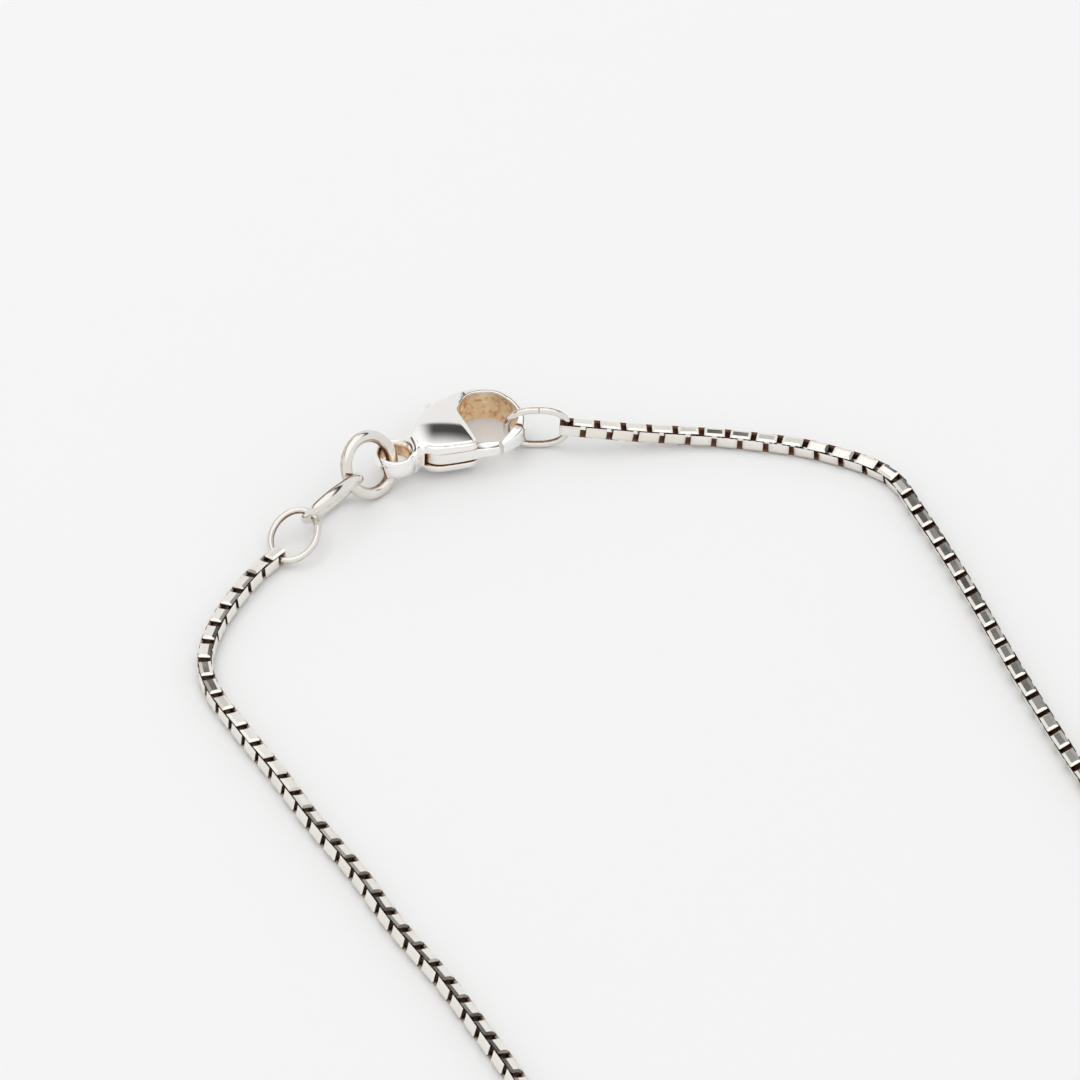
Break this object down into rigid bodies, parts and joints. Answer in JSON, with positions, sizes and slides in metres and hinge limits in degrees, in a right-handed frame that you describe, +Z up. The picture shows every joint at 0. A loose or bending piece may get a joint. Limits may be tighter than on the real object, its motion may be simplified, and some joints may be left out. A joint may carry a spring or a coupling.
{
  "type": "pendant necklace",
  "caption": "Silver box-chain necklace laid in an open loop, closed by a lobster clasp with oval end rings and a round jump ring, with a plain disc pendant on a bail.",
  "frame": {"origin": "on the surface the necklace lies on, under the middle of its bounding box", "axes": "+Z up from that surface, +Y away from the viewer across the clasp end, +X to the viewer's right"},
  "size_m": [0.1044, 0.17, 0.0054],
  "materials": {
    "polished_silver": "polished, lightly worn",
    "warm_silver": "polished, warm tarnish on the inner side",
    "chain_silver": "polished faces, brown tarnish between the links",
    "spring_metal": "drawn wire"
  },
  "bodies": {
    "necklace": {"clasp_body": "polished_silver", "clasp_pin": "spring_metal", "clasp_spring": "spring_metal", "left_upper": "chain_silver", "right_upper": "chain_silver"},
    "trigger": {"clasp_trigger": "polished_silver"},
    "jump_ring": {"jump_ring": "polished_silver"},
    "middle_link": {"middle_link": "warm_silver"},
    "left_ring": {"left_ring": "warm_silver"},
    "right_ring": {"right_ring": "polished_silver"},
    "side": {"left_side": "chain_silver", "right_side": "chain_silver"},
    "lower": {"left_lower": "chain_silver", "right_lower": "chain_silver"},
    "left_sway": {"left_sway": "chain_silver"},
    "right_sway": {"right_sway": "chain_silver"},
    "fore": {"left_fore": "chain_silver", "right_fore": "chain_silver"},
    "turn": {"left_turn": "chain_silver", "right_turn": "chain_silver"},
    "front": {"front_left": "chain_silver", "front_middle": "chain_silver", "front_right": "chain_silver"},
    "bail": {"bail": "polished_silver"},
    "pendant_ring": {"pendant_ring": "polished_silver"},
    "pendant": {"pendant_eye": "polished_silver", "pendant_disc": "polished_silver"}
  },
  "joints": [
    {"name": "trigger_pivot", "type": "hinge", "parent": "necklace", "child": "trigger", "pos_m": [-0.03325, 0.07847, 0.00217], "axis": [0.0221, 0.0103, 0.9997], "range_deg": [0, 20], "stiffness_Nm_per_rad": 0.004, "springref_deg": -11.46, "deforming": ["clasp_spring"]},
    {"name": "jump_twist", "type": "hinge", "parent": "necklace", "child": "jump_ring", "pos_m": [-0.03641, 0.0763, 0.00217], "axis": [-0.7161, -0.6975, 0.0261], "range_deg": [-6, 0]},
    {"name": "middle_twist", "type": "hinge", "parent": "necklace", "child": "middle_link", "pos_m": [-0.04138, 0.07086, 0.00226], "axis": [0.7035, 0.6995, 0.1258], "range_deg": [-1, 12]},
    {"name": "left_ring_twist", "type": "hinge", "parent": "necklace", "child": "left_ring", "pos_m": [-0.04589, 0.06488, 0.00079], "axis": [0.5003, 0.8138, 0.2957], "range_deg": [-6, 6]},
    {"name": "right_ring_twist", "type": "hinge", "parent": "necklace", "child": "right_ring", "pos_m": [-0.02125, 0.08064, 0.0022], "axis": [0.9998, 0.0175, 0], "range_deg": [-6, 6]},
    {"name": "fold_side", "type": "hinge", "parent": "necklace", "child": "side", "pos_m": [-0.02041, 0.05813, 0.00076], "axis": [0.9133, 0.4072, 0], "range_deg": [-15, 15]},
    {"name": "fold_lower", "type": "hinge", "parent": "side", "child": "lower", "pos_m": [-0.00998, 0.03526, 0.00076], "axis": [0.9136, 0.4066, 0], "range_deg": [-15, 15]},
    {"name": "sway_left", "type": "hinge", "parent": "lower", "child": "left_sway", "pos_m": [-0.02345, -0.00203, 0.00076], "axis": [0, 0, 1], "range_deg": [-15, 15]},
    {"name": "sway_right", "type": "hinge", "parent": "lower", "child": "right_sway", "pos_m": [0.02775, 0.02066, 0.00076], "axis": [0, 0, 1], "range_deg": [-15, 15]},
    {"name": "sway_fore", "type": "hinge", "parent": "left_sway", "child": "fore", "pos_m": [-0.01613, -0.01887, 0.00076], "axis": [0, 0, 1], "range_deg": [-15, 15]},
    {"name": "fold_turn", "type": "hinge", "parent": "fore", "child": "turn", "pos_m": [0.01679, -0.02437, 0.00076], "axis": [0.9142, 0.4053, 0], "range_deg": [-15, 15]},
    {"name": "fold_front", "type": "hinge", "parent": "turn", "child": "front", "pos_m": [0.02367, -0.04016, 0.00076], "axis": [0.9142, 0.4053, 0], "range_deg": [-15, 15]},
    {"name": "bail_slide", "type": "slide", "parent": "front", "child": "bail", "axis": [0.9171, 0.3987, 0], "range_m": [-0.0025, 0.0025]},
    {"name": "ring_swing", "type": "hinge", "parent": "bail", "child": "pendant_ring", "pos_m": [0.03447, -0.06494, 0.00132], "axis": [0.9171, 0.3987, 0], "range_deg": [-35, 35]},
    {"name": "pendant_swing", "type": "hinge", "parent": "pendant_ring", "child": "pendant", "pos_m": [0.03606, -0.0686, 0.00132], "axis": [0.9171, 0.3987, 0], "range_deg": [-35, 35]}
  ],
  "couplings": [
    {"joint": "sway_right", "follows": "sway_left", "ratio": 1},
    {"joint": "sway_fore", "follows": "sway_left", "ratio": -1}
  ]
}
